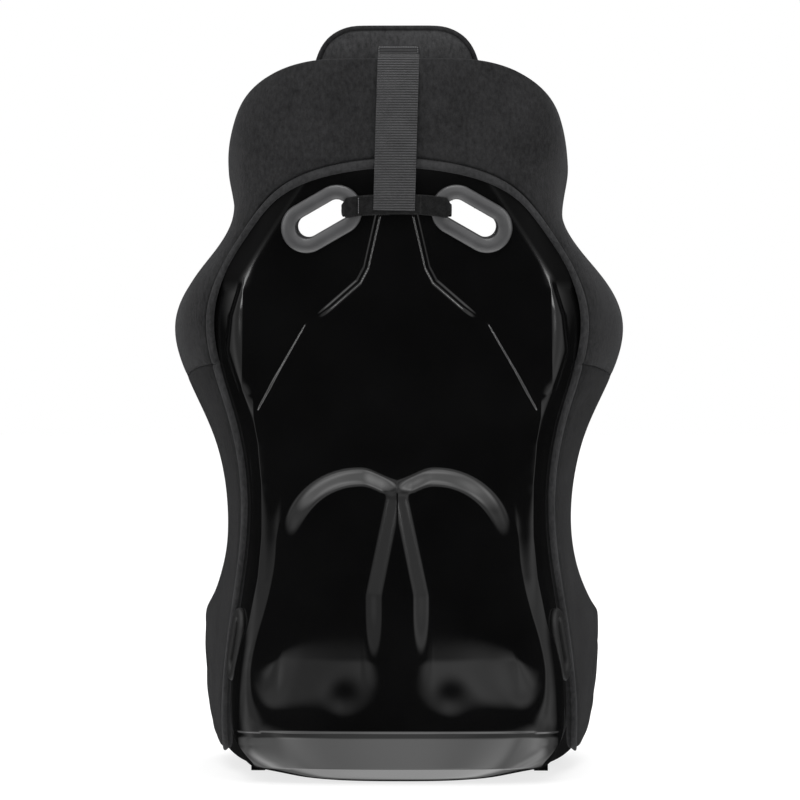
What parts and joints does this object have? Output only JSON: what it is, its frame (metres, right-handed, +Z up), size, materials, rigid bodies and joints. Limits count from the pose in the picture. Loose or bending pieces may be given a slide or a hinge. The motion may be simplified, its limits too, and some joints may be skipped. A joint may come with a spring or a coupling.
{
  "type": "racing seat",
  "caption": "Fixed-back bucket racing seat: gloss moulded shell, velour cover, bolsters, harness slots, loose cushions and a strapped head pillow.",
  "frame": {"origin": "middle of the seat's box on the surface it stands on", "axes": "+X to the right seen from behind, +Y the way the driver faces, +Z up"},
  "size_m": [0.5626, 0.5668, 0.931],
  "materials": {
    "shell_gloss": "polished black gelcoat on glass-fibre laminate",
    "cover_velour": "short-pile charcoal velour with stitched seams",
    "cushion_velour": "short-pile charcoal velour over foam",
    "pad_velour": "short-pile charcoal velour over foam",
    "pillow_panel_velour": "brushed dark grey velour",
    "webbing": "ribbed grey-black polyester webbing",
    "hook_and_loop": "black hook-and-loop tape",
    "slot_plastic": "satin dark grey moulded plastic",
    "steel": "zinc-plated steel"
  },
  "bodies": {
    "shell_body": {"shell": "shell_gloss", "mount_plate_right": "steel", "insert_front_right": "steel", "insert_rear_right": "steel", "mount_plate_left": "steel", "insert_front_left": "steel", "insert_rear_left": "steel", "shoulder_slot_trim_right": "slot_plastic", "shoulder_slot_trim_left": "slot_plastic", "shoulder_slot_collar_right": "slot_plastic", "shoulder_slot_collar_left": "slot_plastic", "lap_slot_trim_right": "slot_plastic", "lap_slot_trim_left": "slot_plastic", "lap_slot_collar_right": "slot_plastic", "lap_slot_collar_left": "slot_plastic", "crotch_slot_trim": "slot_plastic", "cover_upper": "cover_velour", "cover_side_right": "cover_velour", "cover_side_left": "cover_velour", "cover_front": "cover_velour", "head_pad": "pad_velour", "back_pad": "pad_velour", "pan_pad": "pad_velour", "head_wing_pad_right": "pad_velour", "head_wing_pad_left": "pad_velour", "shoulder_bolster_right": "pad_velour", "shoulder_bolster_left": "pad_velour", "torso_bolster_right": "pad_velour", "torso_bolster_left": "pad_velour", "hip_pad_right": "pad_velour", "hip_pad_left": "pad_velour", "thigh_bolster_right": "pad_velour", "thigh_bolster_left": "pad_velour", "lumbar_patch": "hook_and_loop", "pillow_strap": "webbing", "retention_band": "hook_and_loop"},
    "head_pillow_body": {"head_pillow": "cushion_velour", "pillow_back_panel": "pillow_panel_velour", "pillow_binding": "cushion_velour", "strap_tab": "hook_and_loop", "hook_strip": "hook_and_loop"},
    "seat_cushion_body": {"seat_cushion": "cushion_velour"},
    "lumbar_cushion_body": {"lumbar_cushion": "cushion_velour"}
  },
  "joints": [
    {"name": "pillow_height", "type": "slide", "parent": "shell_body", "child": "head_pillow_body", "axis": [0, 0, 1], "range_m": [-0.012, 0.03]},
    {"name": "lumbar_height", "type": "slide", "parent": "shell_body", "child": "lumbar_cushion_body", "axis": [0, -0.1305, 0.9914], "range_m": [0, 0.03]},
    {"name": "cushion_lift", "type": "slide", "parent": "shell_body", "child": "seat_cushion_body", "axis": [0, 0, 1], "range_m": [0, 0.12]}
  ]
}
